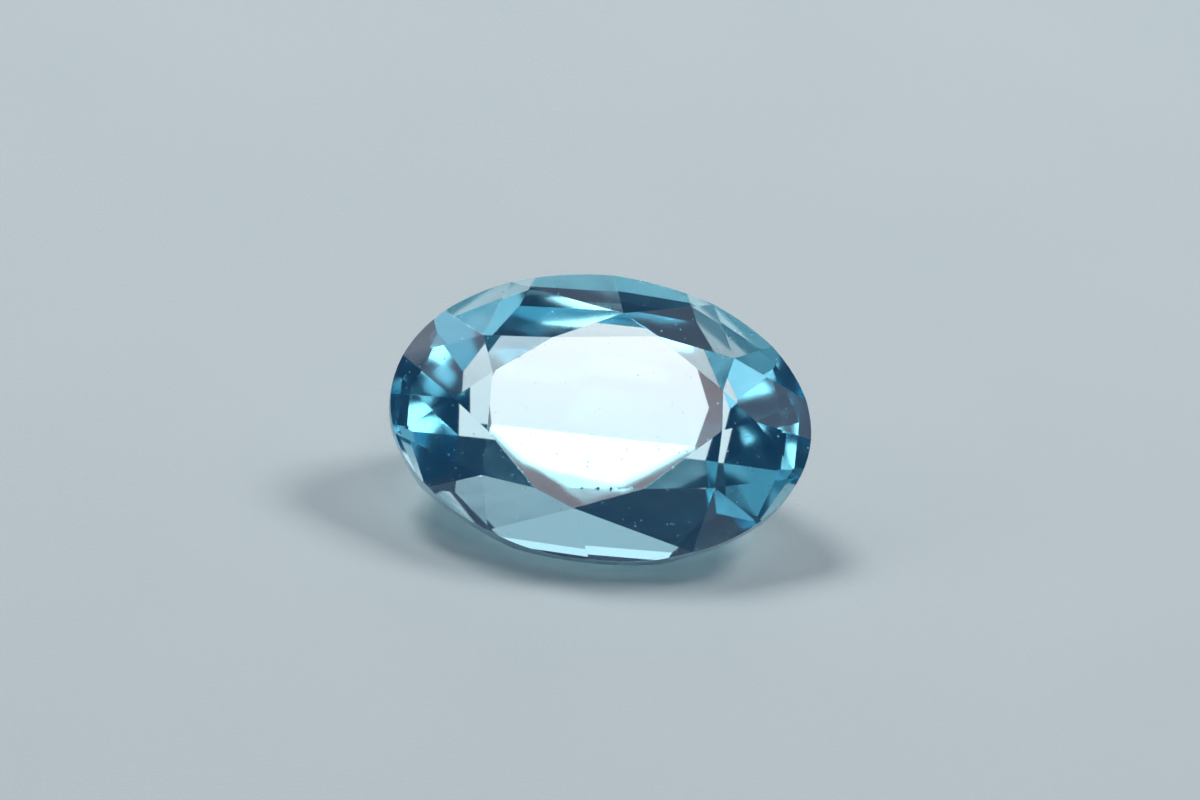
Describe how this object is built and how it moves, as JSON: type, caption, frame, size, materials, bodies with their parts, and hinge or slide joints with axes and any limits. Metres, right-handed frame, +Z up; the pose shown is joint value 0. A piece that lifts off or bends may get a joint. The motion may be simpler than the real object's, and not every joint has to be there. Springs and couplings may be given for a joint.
{
  "type": "faceted oval topaz gemstone",
  "caption": "Clear sky-blue oval topaz, cut with a brilliant crown over a stepped pavilion ending in a keel, lying on its long pavilion facet with the table facing up and forward.",
  "frame": {"origin": "centre of the stone's box, in the plane of the facet that it rests on", "axes": "+X along the oval's long axis, +Z up and square to the resting facet, -Y towards the side that the table faces"},
  "size_m": [0.018, 0.01, 0.0091],
  "materials": {
    "topaz": "clear sky-blue topaz with polished facets and a finely frosted girdle"
  },
  "bodies": {
    "root": {"topaz": "topaz"}
  },
  "joints": []
}
